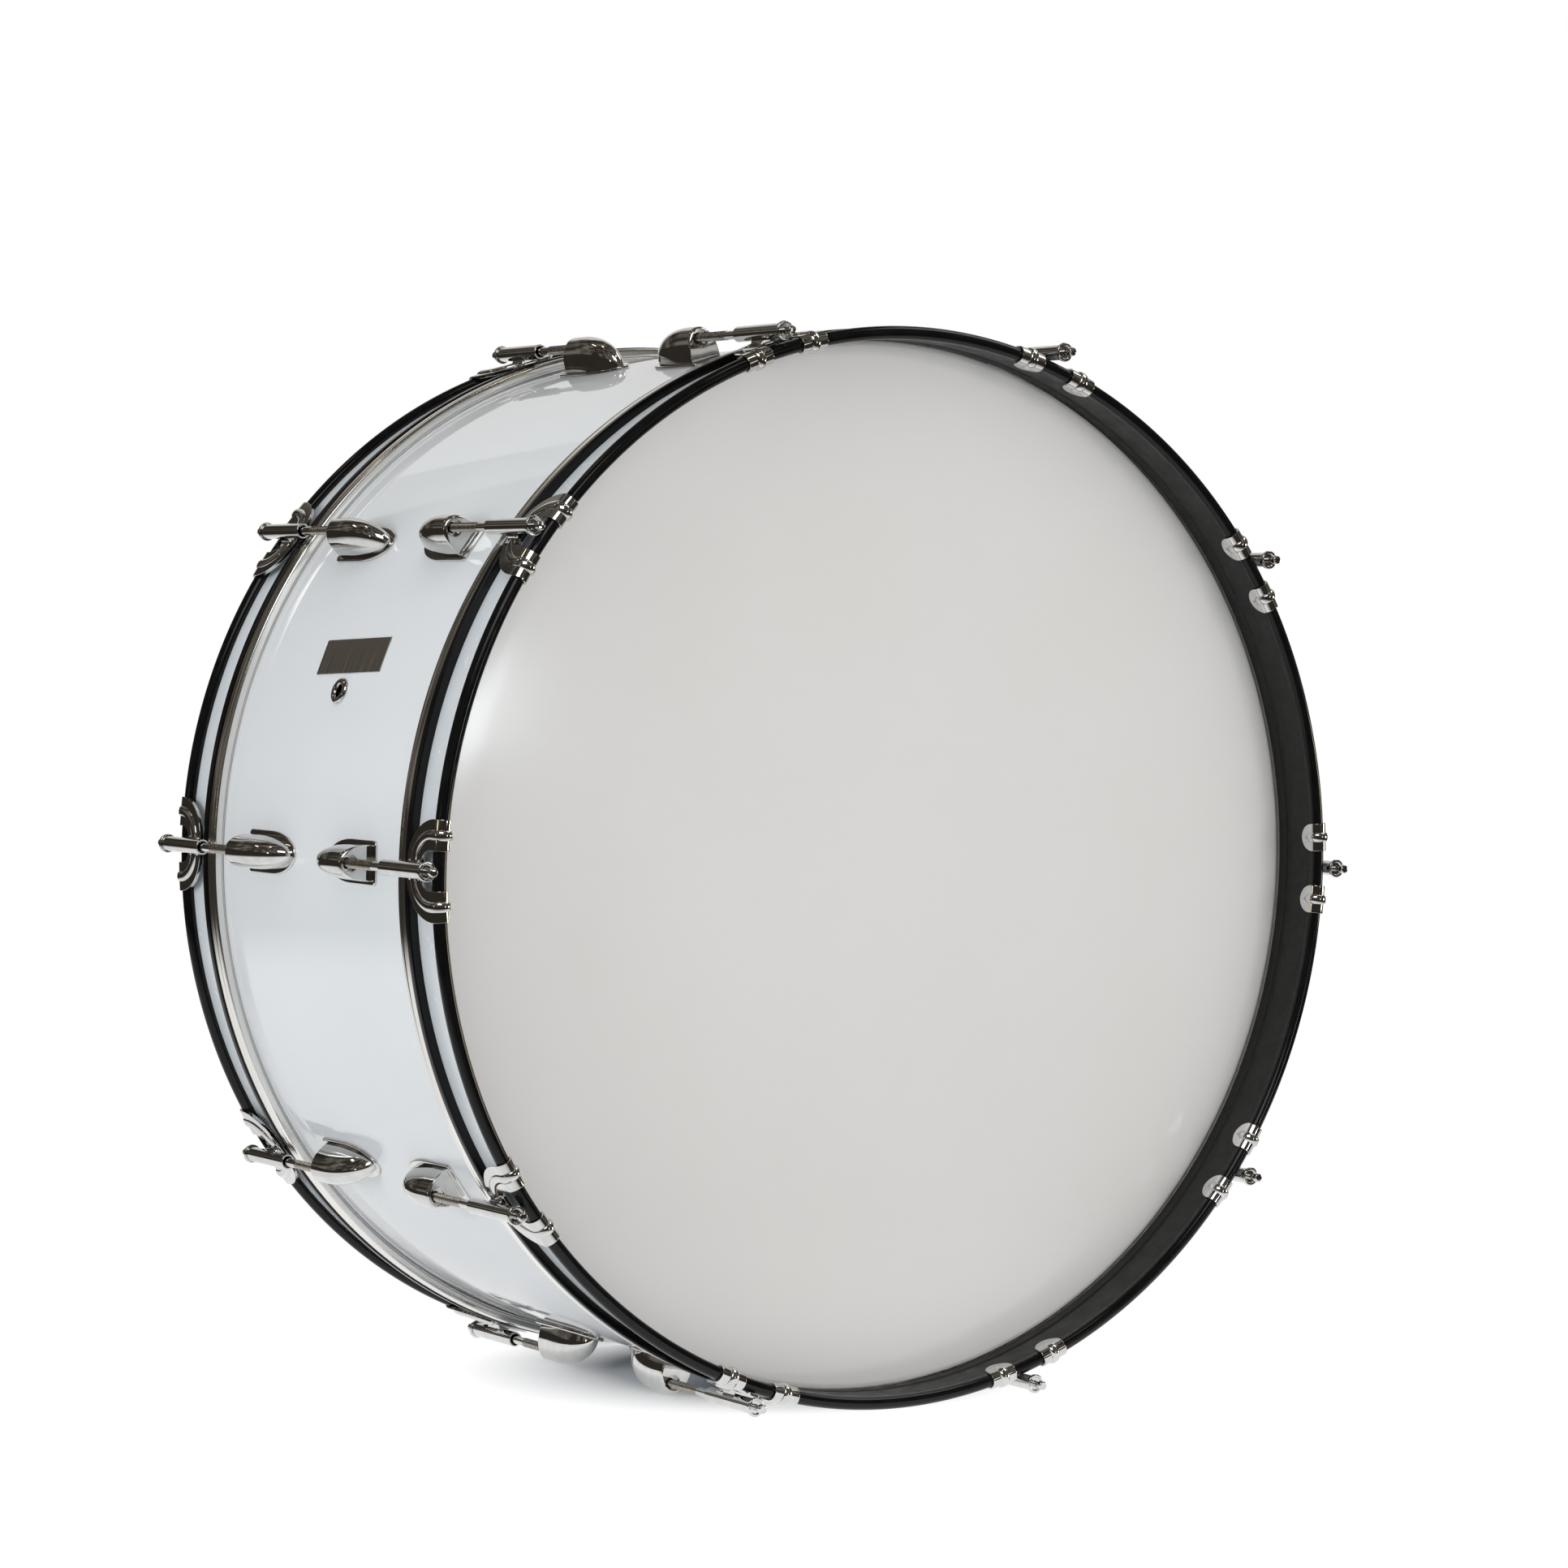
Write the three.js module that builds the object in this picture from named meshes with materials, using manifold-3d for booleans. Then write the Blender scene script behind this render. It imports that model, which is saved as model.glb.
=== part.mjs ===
// Marching bass drum standing on its two hoops, in millimetres.
// The drum's axis lies along Y, the front head faces -Y and the floor is at Z = 0.
// Every piece is drawn for the rear end of the drum: X is the distance from the axis, Y the
// distance from the middle of the shell and Z runs round the shell. Turning it over about X
// gives the piece of the front end.
import * as THREE from 'three';
import { ConvexGeometry } from 'three/addons/geometries/ConvexGeometry.js';
import { mergeVertices } from 'three/addons/utils/BufferGeometryUtils.js';
import Module from 'manifold-3d';

const wasm = await Module();
wasm.setup();

// Driving dimensions
const shellRadius = 327.5;
const shellDepth = 256;
const shellWall = 6;
const seatGap = 0.3;
const cutOverrun = 2;

// Tension stations round the shell, the first one level with the axis
const stationCount = 10;
const stationStep = 2 * Math.PI / stationCount;

// A ring has flats: one faces each station and one faces the floor
const ringFlats = 60;
const flatHalfAngle = Math.PI / ringFlats;
const tubeFlats = 8;
const tubeHalfAngle = Math.PI / tubeFlats;
const rodFlats = 6;
const ventFlats = 12;

// Head film, stretched over the rounded edge of the shell
const filmThickness = 0.8;
const crownReach = 4.3;
const collarDepth = 8;
const headPlane = shellDepth / 2 + seatGap + filmThickness;
const collarRadius = shellRadius + seatGap + filmThickness;

// Flesh hoop, the bright ring that carries the film
const fleshHoopWall = 5.8;
const fleshHoopDepth = 9.6;
const fleshHoopRise = 0.8;
const fleshHoopTop = headPlane + fleshHoopRise;
const fleshHoopInner = collarRadius + seatGap;

// Tension hoop: a thin wall between a flange that presses the flesh hoop and a rolled bead
const hoopRise = 8;
const hoopRadius = shellRadius + hoopRise;
const hoopDepth = 38.4;
const hoopBase = fleshHoopTop + seatGap;
const beadRadius = 4.2;
const beadCentreRadius = hoopRadius - beadRadius;
const beadCentre = hoopBase + hoopDepth - beadRadius;
const hoopWallStep = 0.7;
const hoopInner = beadCentreRadius - beadRadius + hoopWallStep;
const flangeDepth = 4.8;
const wallRecess = 5.7;
const grooveStart = 7;
const grooveWidth = 5;
const grooveDepth = 0.8;

// Tension rod
const rodHeight = 15.5;
const rodCircle = shellRadius + rodHeight;
const rodRadius = 3;
const rodEndPlay = 2.5;
const rodCollarRadius = 5.6;
const rodCollarDepth = 2.2;
const rodKeyRadius = 2.8;
const rodKeyLength = 8;

// Claw: a tube for the rod, a forked arm and two hooks over the bead
const clawTubeRadius = 4.7;
const clawTubeLength = 49;
const clawTubeEnd = beadCentre + beadRadius;
const rodPlay = 0.5;
const hookClearance = 0.75;
const hookThickness = 1.5;
const hookWidth = 18;
const hookSpread = 20.6;
const hookAngle = hookSpread / beadCentreRadius;
const tongueReach = 8.6;
const armClearance = 0.5;
const armFoot = hoopRadius + armClearance;
const armTop = hoopRadius + hookClearance + hookThickness;
const armReach = 28;
const windowReach = 12;
const forkHalfWidth = 4;
const saddleHalfWidth = 4;
const saddleInset = 2;

// Lug: a bullet-shaped casting on a thin foot
const lugSetback = 51.5;
const lugNoseGap = 25;
const lugFace = shellDepth / 2 - lugSetback;
const lugLength = lugFace - lugNoseGap;
const lugParallelShare = 0.42;
const lugHeight = 22.5;
const lugCrownRadius = 9.1;
const lugHalfWidth = 11;
const lugFootThickness = 2;
const lugFootOverhang = 2.5;
const lugFootLip = 5.5;
const lugFootCorner = 4;
const lugBoreDepth = 30;

// Air vent eyelet, half way between two stations
const ventAngle = 4.5 * stationStep;
const ventBoreRadius = 4;
const ventBarrelRadius = 5;
const ventFlangeRadius = 8.3;
const ventFlangeThickness = 1.2;

// Turns an angle in radians into the degrees that a solid is turned by
const degrees = 180 / Math.PI;

// A closed body ready for cutting and joining
function solidOf(geometry) {
  const plain = geometry.clone();
  plain.deleteAttribute('normal');
  plain.deleteAttribute('uv');
  const merged = mergeVertices(plain);
  const mesh = new wasm.Mesh({
    numProp: 3,
    vertProperties: new Float32Array(merged.attributes.position.array),
    triVerts: new Uint32Array(merged.index.array),
  });
  return new wasm.Manifold(mesh);
}

function geometryOf(solid) {
  const mesh = solid.getMesh();
  const geometry = new THREE.BufferGeometry();
  geometry.setAttribute('position', new THREE.BufferAttribute(mesh.vertProperties, 3));
  geometry.setIndex(new THREE.BufferAttribute(mesh.triVerts, 1));
  return geometry;
}

function joined(solids) {
  return solids.reduce((whole, solid) => whole.add(solid));
}

// Corner points of a flat-sided arc whose sides touch the circle
function tangentArc(x, y, radius, from, to, sides) {
  const step = (to - from) / sides;
  const reach = radius / Math.cos(step / 2);
  return Array.from({ length: sides }, (_, i) => {
    const angle = from + step * (i + 0.5);
    return [x + reach * Math.cos(angle), y + reach * Math.sin(angle)];
  });
}

// Corner points of an elliptical arc, both ends included
function ellipseArc(x, y, xReach, yReach, from, to, sides) {
  return Array.from({ length: sides + 1 }, (_, i) => {
    const angle = from + (to - from) * i / sides;
    return [x + xReach * Math.cos(angle), y + yReach * Math.sin(angle)];
  });
}

// A ring round the drum's axis from a closed outline of [radius, y] corners
function ring(corners) {
  const outline = [...corners, corners[0]].map(([radius, y]) => new THREE.Vector2(
    radius / Math.cos(flatHalfAngle), y));
  return new THREE.LatheGeometry(outline, ringFlats, flatHalfAngle);
}

// A disc round the drum's axis from an outline that starts and ends on the axis
function disc(corners) {
  const outline = corners.map(([radius, y]) => new THREE.Vector2(
    radius / Math.cos(flatHalfAngle), y));
  return new THREE.LatheGeometry(outline, ringFlats, flatHalfAngle);
}

// A round bar parallel to the drum's axis, its flats at the given radius
function bar(radius, from, to) {
  const corner = radius / Math.cos(tubeHalfAngle);
  const geometry = new THREE.CylinderGeometry(corner, corner, to - from, tubeFlats);
  geometry.rotateY(tubeHalfAngle);
  geometry.translate(rodCircle, (from + to) / 2, 0);
  return geometry;
}

function shapeOf(corners) {
  return new THREE.Shape(corners.map(([x, y]) => new THREE.Vector2(x, y)));
}

// A side outline of [radius, y] corners given a width round the shell
function sideBlock(corners, width) {
  const geometry = new THREE.ExtrudeGeometry(shapeOf(corners), { depth: width, bevelEnabled: false });
  geometry.translate(0, 0, -width / 2);
  return geometry;
}

// A plan outline of [y, z] corners raised from one distance from the axis to another
function planBlock(corners, from, to) {
  const geometry = new THREE.ExtrudeGeometry(shapeOf(corners), { depth: to - from, bevelEnabled: false });
  const turn = new THREE.Matrix4().makeBasis(
    new THREE.Vector3(0, 1, 0), new THREE.Vector3(0, 0, 1), new THREE.Vector3(1, 0, 0));
  geometry.applyMatrix4(turn);
  geometry.translate(from, 0, 0);
  return geometry;
}

// Shell with rounded bearing edges and a hole for the vent
function shellSolid() {
  const half = shellDepth / 2;
  const round = crownReach - filmThickness - seatGap;
  const inner = shellRadius - shellWall;
  const slope = shellWall - round;
  const body = solidOf(ring([
    [shellRadius, -half + round],
    [shellRadius, half - round],
    [shellRadius - round, half],
    [inner, half - slope],
    [inner, -half + slope],
    [shellRadius - round, -half],
  ]));
  return body.subtract(solidOf(ventCore(ventBarrelRadius + seatGap)));
}

// A round plug across the shell wall at the vent
function ventCore(radius) {
  const length = shellWall + 2 * cutOverrun;
  const geometry = new THREE.CylinderGeometry(radius, radius, length, ventFlats);
  geometry.rotateZ(Math.PI / 2);
  geometry.translate(shellRadius - shellWall / 2, 0, 0);
  geometry.rotateY(-ventAngle);
  return geometry;
}

function ventGrommet() {
  const outline = [
    [ventBoreRadius, -shellWall],
    [ventBarrelRadius, -shellWall],
    [ventBarrelRadius, seatGap],
    [ventFlangeRadius, seatGap],
    [ventFlangeRadius - ventFlangeThickness / 2, seatGap + ventFlangeThickness],
    [ventBoreRadius, seatGap + ventFlangeThickness],
  ];
  const closed = [...outline, outline[0]].map(([x, y]) => new THREE.Vector2(x, y));
  const geometry = new THREE.LatheGeometry(closed, ventFlats);
  geometry.rotateZ(-Math.PI / 2);
  geometry.translate(shellRadius, 0, 0);
  geometry.rotateY(-ventAngle);
  return geometry;
}

function head() {
  const inside = crownReach - filmThickness;
  const crown = collarRadius - crownReach;
  const collarInner = collarRadius - filmThickness;
  return disc([
    [0, headPlane - filmThickness],
    [crown, headPlane - filmThickness],
    [collarInner, headPlane - filmThickness - inside],
    [collarInner, headPlane - collarDepth],
    [collarRadius, headPlane - collarDepth],
    [collarRadius, headPlane - crownReach],
    [crown, headPlane],
    [0, headPlane],
  ]);
}

function fleshHoop() {
  return ring([
    [fleshHoopInner, fleshHoopTop - fleshHoopDepth],
    [fleshHoopInner + fleshHoopWall, fleshHoopTop - fleshHoopDepth],
    [fleshHoopInner + fleshHoopWall, fleshHoopTop],
    [fleshHoopInner, fleshHoopTop],
  ]);
}

// Tension hoop: flange, recessed wall for the trim strip, rolled bead and a groove inside
function hoop() {
  const wall = hoopRadius - wallRecess;
  const beadStart = Math.acos(1 - wallRecess / beadRadius);
  const beadEnd = Math.acos(1 - hoopWallStep / beadRadius);
  const bead = ellipseArc(beadCentreRadius, beadCentre, beadRadius, beadRadius,
    -beadStart, Math.PI + beadEnd, 6);
  return ring([
    [hoopInner, hoopBase],
    [hoopRadius, hoopBase],
    [hoopRadius, hoopBase + flangeDepth],
    [wall, hoopBase + flangeDepth],
    ...bead,
    [hoopInner, hoopBase + grooveStart + grooveWidth],
    [hoopInner + grooveDepth, hoopBase + grooveStart + grooveWidth / 2],
    [hoopInner, hoopBase + grooveStart],
  ]);
}

// Rod with a collar on the end of the claw's tube and a key head
function rod() {
  const collar = clawTubeEnd + seatGap;
  const end = lugFace - lugBoreDepth + rodEndPlay;
  const outline = [
    [0, end],
    [rodRadius, end],
    [rodRadius, collar],
    [rodCollarRadius, collar],
    [rodCollarRadius, collar + rodCollarDepth],
    [rodKeyRadius, collar + rodCollarDepth],
    [rodKeyRadius, collar + rodCollarDepth + rodKeyLength],
    [0, collar + rodCollarDepth + rodKeyLength],
  ];
  const points = outline.map(([x, y]) => new THREE.Vector2(x, y));
  const geometry = new THREE.LatheGeometry(points, rodFlats);
  geometry.translate(rodCircle, 0, 0);
  return geometry;
}

// Plan of the forked arm: an arch round the rod with a window open towards the bead
function forkPlan() {
  const outer = hookSpread + hookWidth / 2 - forkHalfWidth;
  const inner = hookSpread - hookWidth / 2 - forkHalfWidth;
  const quarter = Math.PI / 2;
  return [
    ...ellipseArc(beadCentre, forkHalfWidth, armReach, outer, quarter, 2 * quarter, 3),
    ...ellipseArc(beadCentre, -forkHalfWidth, armReach, outer, 2 * quarter, 3 * quarter, 3),
    ...ellipseArc(beadCentre, -forkHalfWidth, windowReach, inner, 3 * quarter, 2 * quarter, 2),
    ...ellipseArc(beadCentre, forkHalfWidth, windowReach, inner, 2 * quarter, quarter, 2),
  ];
}

// Side outline of one hook: over the bead and back along the inside of the hoop
function hookOutline() {
  const inside = beadRadius + hookClearance;
  const outside = inside + hookThickness;
  const tip = beadCentre - tongueReach;
  return [
    [beadCentreRadius + inside, beadCentre - beadRadius],
    [beadCentreRadius + outside, beadCentre - beadRadius],
    ...tangentArc(beadCentreRadius, beadCentre, outside, 0, Math.PI, 4),
    [beadCentreRadius - outside, tip],
    [beadCentreRadius - inside, tip],
    ...tangentArc(beadCentreRadius, beadCentre, inside, Math.PI, 0, 4),
  ];
}

// Plan that rounds the tongue of a hook
function tonguePlan() {
  const half = hookWidth / 2;
  const front = clawTubeEnd + beadRadius + hookThickness + cutOverrun;
  return [
    [front, half],
    ...ellipseArc(beadCentre - tongueReach + half, 0, half, half, Math.PI / 2, 3 * Math.PI / 2, 3),
    [front, -half],
  ];
}

function hookSolid() {
  const body = solidOf(sideBlock(hookOutline(), hookWidth));
  return body.intersect(solidOf(planBlock(tonguePlan(), shellRadius / 2, 2 * shellRadius)));
}

// Block that carries the tube on the arm
function saddle() {
  const start = beadCentre - armReach + saddleInset;
  const end = beadCentre - windowReach - saddleInset;
  const half = saddleHalfWidth;
  return planBlock([[start, -half], [end, -half], [end, half], [start, half]], armFoot, rodCircle);
}

// Claw casting: a forked arm with a hook on each prong, and the tube for the rod on its saddle
function clawSolid() {
  const tubeStart = clawTubeEnd - clawTubeLength;
  const fork = solidOf(planBlock(forkPlan(), armFoot, armTop));
  const hooks = [-hookAngle, hookAngle].map((angle) => hookSolid().rotate([0, angle * degrees, 0]));
  const tube = solidOf(bar(clawTubeRadius, tubeStart, clawTubeEnd));
  const bore = solidOf(bar(rodRadius + rodPlay, tubeStart - cutOverrun, clawTubeEnd + cutOverrun));
  return joined([fork, ...hooks, solidOf(saddle()), tube]).subtract(bore);
}

// Cross-section of the lug: a round crown on sides that spread to the foot
function lugSection(y, heightShare, widthShare) {
  const foot = shellRadius + lugFootThickness / 2;
  const crown = lugCrownRadius * Math.min(heightShare, widthShare);
  const centre = shellRadius + lugHeight * heightShare - crown;
  const side = lugHalfWidth * widthShare;
  const arc = ellipseArc(centre, 0, crown, crown, -Math.PI / 2, Math.PI / 2, 4);
  return [[foot, -side], ...arc, [foot, side]].map(([x, z]) => new THREE.Vector3(x, y, z));
}

// The body runs parallel from the flat face, then thins to a blunt nose in a quarter of an ellipse
function lugBody() {
  const parallel = lugLength * lugParallelShare;
  const noseShares = [0, 0.45, 0.78, 0.97];
  const sections = noseShares.map((share) => {
    const taper = Math.sqrt(1 - share * share);
    return lugSection(lugFace - parallel - (lugLength - parallel) * share, taper, taper);
  });
  return new ConvexGeometry([lugSection(lugFace, 1, 1), ...sections].flat());
}

// The foot follows the body and reaches out as a lip under the rod
function lugFootPlan() {
  const half = lugHalfWidth + lugFootOverhang;
  const end = lugFace + lugFootLip;
  const turn = lugFace - lugLength * lugParallelShare;
  const nose = lugLength * (1 - lugParallelShare) + lugFootOverhang;
  const corner = lugFootCorner;
  return [
    ...ellipseArc(end - corner, half - corner, corner, corner, 0, Math.PI / 2, 1),
    ...ellipseArc(turn, 0, nose, half, Math.PI / 2, 3 * Math.PI / 2, 5),
    ...ellipseArc(end - corner, corner - half, corner, corner, -Math.PI / 2, 0, 1),
  ];
}

function lugSolid(seat) {
  const foot = planBlock(lugFootPlan(), shellRadius + seat, shellRadius + lugFootThickness);
  const bore = bar(rodRadius + rodPlay, lugFace - lugBoreDepth, lugFace + cutOverrun);
  return joined([solidOf(foot), solidOf(lugBody())]).subtract(solidOf(bore));
}

const drum = new THREE.Group();
drum.name = 'marching_bass_drum';

// Adds one piece, raised so that the hoops stand on the floor
function addPiece(name, geometry, look) {
  const placed = geometry.clone();
  placed.translate(0, 0, hoopRadius);
  const mesh = new THREE.Mesh(placed, new THREE.MeshStandardMaterial(look));
  mesh.name = name;
  drum.add(mesh);
}

// The piece turned over to the front end, or left at the rear end
function atEnd(geometry, end) {
  const turned = geometry.clone();
  if (end === 'front') {
    turned.rotateX(Math.PI);
  }
  return turned;
}

function atStation(geometry, index) {
  return geometry.clone().rotateY(-index * stationStep);
}

const wrapLook = { color: 0xe6e8e8, roughness: 0.12, metalness: 0 };
const filmLook = { color: 0xd6d5d2, roughness: 0.45, metalness: 0 };
const brightLook = { color: 0xb9b9b6, roughness: 0.3, metalness: 1 };
const blackLook = { color: 0x121212, roughness: 0.28, metalness: 0 };
const chromeLook = { color: 0xc9c8c6, roughness: 0.08, metalness: 1 };

function addShell() {
  const rearLug = lugSolid(-seatGap);
  const lugs = Array.from({ length: stationCount }, (_, i) => rearLug.rotate(
    [0, -i * stationStep * degrees, 0]));
  addPiece('shell_with_rear_lugs', geometryOf(joined([shellSolid(), ...lugs])), wrapLook);
  addPiece('vent_grommet', ventGrommet(), chromeLook);
}

function addEnd(end) {
  addPiece(`${end}_head`, atEnd(head(), end), filmLook);
  addPiece(`${end}_flesh_hoop`, atEnd(fleshHoop(), end), brightLook);
  addPiece(`${end}_hoop`, atEnd(hoop(), end), blackLook);
  const claw = atEnd(geometryOf(clawSolid()), end);
  const tensionRod = atEnd(rod(), end);
  for (let i = 0; i < stationCount; i += 1) {
    const number = String(i + 1).padStart(2, '0');
    addPiece(`${end}_claw_${number}`, atStation(claw, i), chromeLook);
    addPiece(`${end}_rod_${number}`, atStation(tensionRod, i), chromeLook);
  }
}

function addFrontLugs() {
  const lug = atEnd(geometryOf(lugSolid(seatGap)), 'front');
  for (let i = 0; i < stationCount; i += 1) {
    const number = String(i + 1).padStart(2, '0');
    addPiece(`front_lug_${number}`, atStation(lug, i), chromeLook);
  }
}

addShell();
addEnd('front');
addEnd('rear');
addFrontLugs();

export default drum;
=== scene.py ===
# Dresses the marching bass drum with smooth shapes and finishes, on a pale floor in soft light.
# Lengths are in millimetres until a mesh is made, and those of the floor, the studio and the camera
# are in metres. A piece is drawn for the rear end of the drum as (distance from the axis, distance
# outward from the middle of the shell, distance round the shell), and the front end is the same
# piece turned over.
import math

import bpy
import bmesh
from mathutils import Matrix, Vector


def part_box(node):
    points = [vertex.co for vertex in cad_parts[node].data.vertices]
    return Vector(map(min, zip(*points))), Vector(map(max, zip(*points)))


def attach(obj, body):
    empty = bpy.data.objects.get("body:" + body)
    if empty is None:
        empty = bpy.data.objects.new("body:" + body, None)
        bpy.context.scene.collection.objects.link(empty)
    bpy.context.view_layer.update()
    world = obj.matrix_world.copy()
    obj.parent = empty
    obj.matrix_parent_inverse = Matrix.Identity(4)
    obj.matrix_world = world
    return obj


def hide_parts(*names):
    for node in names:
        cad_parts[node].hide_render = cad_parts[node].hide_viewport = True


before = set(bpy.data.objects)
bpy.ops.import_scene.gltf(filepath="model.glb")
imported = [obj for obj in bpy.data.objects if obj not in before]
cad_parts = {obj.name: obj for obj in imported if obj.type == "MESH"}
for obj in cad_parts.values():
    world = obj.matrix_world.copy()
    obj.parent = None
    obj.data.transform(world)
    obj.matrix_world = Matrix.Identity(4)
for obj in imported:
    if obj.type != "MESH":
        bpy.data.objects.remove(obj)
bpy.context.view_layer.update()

MM = 0.001
TURN = 2 * math.pi


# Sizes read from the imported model
def extent(node):
    low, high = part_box(node)
    return low / MM, high / MM


hoop_low, hoop_high = extent("rear_hoop")
flesh_low, flesh_high = extent("rear_flesh_hoop")
hoop_radius = (hoop_high.z - hoop_low.z) / 2
hoop_base = hoop_low.y
shell_half = extent("shell_with_rear_lugs")[1].y
head_plane = extent("rear_head")[1].y

# Shell, heads and flesh hoops
hoop_rise = 8
shell_radius = hoop_radius - hoop_rise
shell_wall = 6
shell_edge_round = 3
ply_edge_round = 0.5
film_thickness = 0.8
film_gap = 0.3
crown_reach = 4.3
collar_depth = 8
head_flat_shares = (0, 0.25, 0.5, 0.75, 0.9)
collar_radius = shell_radius + film_gap + film_thickness
flesh_inner = collar_radius + film_gap
flesh_wall = 5.8
flesh_corner = 1.6
flesh_edge_round = 0.9
flesh_groove_share = 0.32
flesh_groove_width = 1.5
flesh_groove_depth = 0.5
flesh_groove_round = 0.2
flesh_groove_slope_share = 1 / 3

# Tension hoops
bead_radius = 4.2
hoop_depth = 38.4
hoop_end = hoop_base + hoop_depth
bead_centre_radius = hoop_radius - bead_radius
bead_centre = hoop_end - bead_radius
bead_step = 0.7
hoop_inner = bead_centre_radius - bead_radius + bead_step
flange_depth = 4.8
flange_round = 0.9
wall_recess = 5.7
wall_corner = 0.3
strip_thickness = 0.5
strip_gap = 0.1
strip_round = 0.1
inner_groove_start = 7.4
inner_groove_width = 4.6
inner_groove_depth = 0.7
inner_groove_round = 0.5
inner_groove_slope_share = 0.2
inner_wall_land = 1

# Tension stations and rods
station_count = 10
station_step = TURN / station_count
rod_height = 15.5
rod_circle = shell_radius + rod_height
rod_radius = 3
shank_radius = 2.75
rod_play = 0.5
lug_setback = 51.5
lug_face = shell_half - lug_setback
lug_bore_depth = 30
rod_end_play = 2.5
rod_end = lug_face - lug_bore_depth + rod_end_play
thread_pitch = 1
thread_depth = 0.55
thread_in_lug = 14
thread_out_of_lug = 30
thread_start = lug_face - thread_in_lug
thread_end = lug_face + thread_out_of_lug
shank_overlap = 0.6
shank_round = 0.4
tube_end = hoop_end
tube_length = 49
tube_radius = 4.8
tube_bore = 3.7
tube_round = 0.4
tube_bore_round = 0.3
collar_gap = 0.3
collar_start = tube_end + collar_gap
rod_collar_radius = 6
rod_collar_depth = 2.2
rod_collar_round = 0.7
rod_recess_radius = 4.4
rod_recess_depth = 1.4
rod_recess_taper = 0.4
rod_recess_round = 0.3
rod_neck_radius = 1.8
key_radius = 2.8
key_length = 3.4
key_rise = 8
key_inner_round = 0.5
key_outer_round = 0.8
key_end = collar_start + rod_collar_depth + key_rise

# Claw
hook_clearance = 0.3
hook_thickness = 1.3
hook_half_width = 9.15
hook_spread = 20.6
tongue_reach = 8.4
arm_reach = 28
window_reach = 12.5
arm_sink = 1.2
fork_half_width = 4
rib_half_width = 3.05
rib_rise = 1.4
rib_tip_gap = 5
rib_width_share = 0.6
rib_least_share = 0.2
cast_round = 0.35
cast_round_share = 0.4
saddle_half_width = 4.6
saddle_inset = 1
saddle_rear_round = 2
saddle_front_round = 1
saddle_cove_height = 3
saddle_cove_width = 2.2
saddle_cove_steps = 4
tongue_first_angle = math.radians(4)
tongue_last_angle = math.radians(80)
tongue_bunching = 1.25
tongue_tip_half_width = 0.55

# Lug
lug_nose_gap = 25
lug_length = lug_face - lug_nose_gap
lug_sink_share = 0.6
lug_parallel_share = 0.2
lug_last_angle = math.radians(88.5)
lug_nose_power = 2.1
lug_arch_power = 2.35
lug_height = 22.5
lug_half_width = 11
lug_crown_radius = 9.1
lug_face_round = 2.8
lug_side_round = 0.9
lug_round_power = 0.7
lug_mouth_radius = 5
lug_mouth_depth = 4
lug_mouth_bevel = 0.9
bevel_middle_share = 0.3
bore_end_share = 0.2
foot_gap = 0.02
foot_thickness = 1.9
foot_overhang = 2.5
foot_lip = 5.5
foot_straight = 30
foot_nose_gap = 3
foot_corner = 3
foot_round = 0.8
foot_edge_land = 1.6

# Vent and bare plate on the shell
vent_station = 4.5
vent_angle = vent_station * station_step
vent_bore = 4
vent_barrel = 5
vent_flange = 8.3
vent_rise = 2.2
vent_gap = 0.3
plate_angle = math.radians(157.95)
plate_tilt = math.radians(2.4)
plate_centre = -2
plate_half_length = 39.5
plate_half_width = 11.5
plate_thickness = 0.6
plate_corner = 0.6
plate_round = 0.2
plate_gap = 0.05

# Heights of the waves, grain and lines in the surfaces
gloss_wave = 0.12
ply_grain = 0.1
plate_wave = 0.1
trim_wave = 0.05
fine_line = 0.03
fine_grain = 0.02

# Floor in metres: its half width, and where the shadow round the drum fades to white.
# Also the strength of a faint bluish glow painted into the floor there, which lifts and tints its shadow
floor_reach = 20
painted_shadow_glow = 0.03
shadow_reach = (0.27, 0.24)
shadow_fade = (0.34, 0.7)

# A dim room, a pale backdrop and the end of a white floor sheet, in reflections only
room_radius = 9
room_start = math.radians(7)
room_shade = (0.033, 0.028, 0.023)
room_panel = (0.23, 0.21, 0.185)
room_clutter = (0.42, 0.7)
room_side = (math.radians(92), math.radians(380))
backdrop_side = (math.radians(20), math.radians(84))
backdrop_edge = (math.radians(84), math.radians(92))
backdrop_top = math.radians(50)
backdrop_shade = (0.72, 0.71, 0.69)
backdrop_edge_shade = (0.42, 0.40, 0.36)
sheet_reach = 0.45
sheet_lift = 0.002
sheet_centre = (0.1, 0.45, 0)
sheet_scale = 4
sheet_shade = (0.9, 0.9, 0.9)
sheet_fade = (0.23, 0.36)

# Small warm lamps in the reflections: direction and rise in degrees, size, strength
small_lamp_distance = 4
small_lamp_color = (1, 0.86, 0.62)
small_lamps = ((138, 47, (0.5, 0.16), 5), (149, 67, (0.3, 0.3), 5), (189, 9, (0.25, 0.4), 4),
               (-23, 4, (0.7, 0.9), 12), (-75, 62, (0.5, 0.3), 6))

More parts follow.
